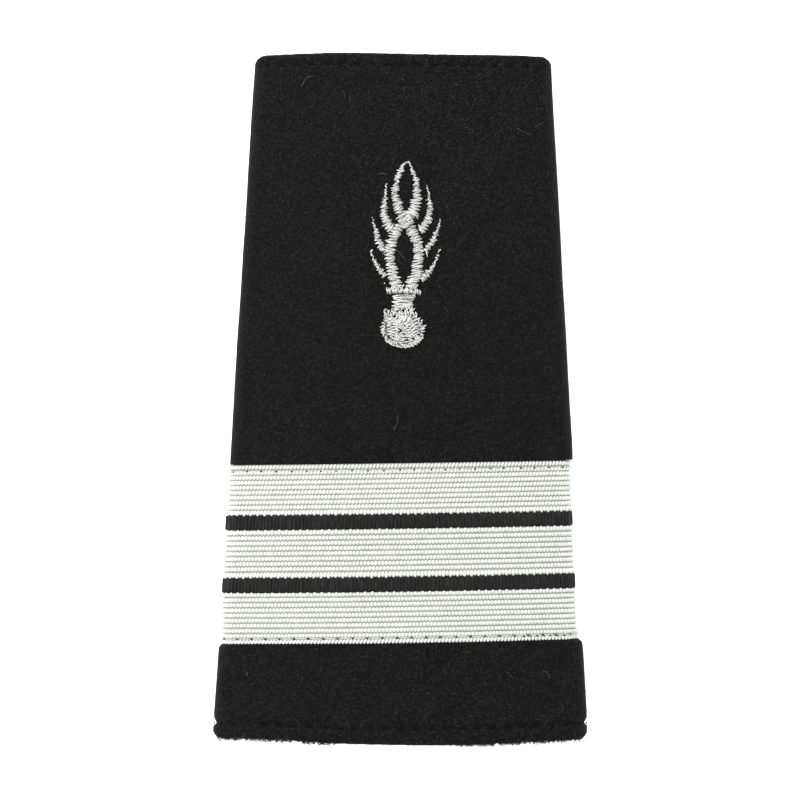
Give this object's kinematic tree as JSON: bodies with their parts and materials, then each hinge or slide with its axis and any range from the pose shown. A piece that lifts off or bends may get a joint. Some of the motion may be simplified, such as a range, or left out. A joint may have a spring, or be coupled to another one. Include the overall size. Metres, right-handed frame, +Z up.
{
  "type": "rank slide",
  "caption": "Tapered felt sleeve that slips over a shoulder strap, with a slanted ribbon of silver and black stripes and an embroidered flaming grenade.",
  "frame": {"origin": "centre of the bounding box's bottom, on the surface that the slide lies on", "axes": "+Z up out of the front face, +Y towards the narrow neck end, +X to the right of the front"},
  "size_m": [0.056, 0.1022, 0.0097],
  "materials": {
    "black_felt": "pressed wool felt, matt, with fine pale fibres",
    "black_ribbon": "ribbed grosgrain weave",
    "silver_braid": "woven silver-white braid in raised rows",
    "silver_thread": "metallic satin stitch"
  },
  "bodies": {
    "root": {"felt_sleeve": "black_felt", "ribbon": "black_ribbon", "silver_braid_lower": "silver_braid", "silver_braid_middle": "silver_braid", "silver_braid_upper": "silver_braid", "grenade_ball": "silver_thread", "grenade_neck": "silver_thread", "grenade_collar": "silver_thread", "flame_centre": "silver_thread", "flame_left_upper": "silver_thread", "flame_left_middle": "silver_thread", "flame_left_lower": "silver_thread", "flame_right_upper": "silver_thread", "flame_right_middle": "silver_thread", "flame_right_lower": "silver_thread"}
  },
  "joints": []
}
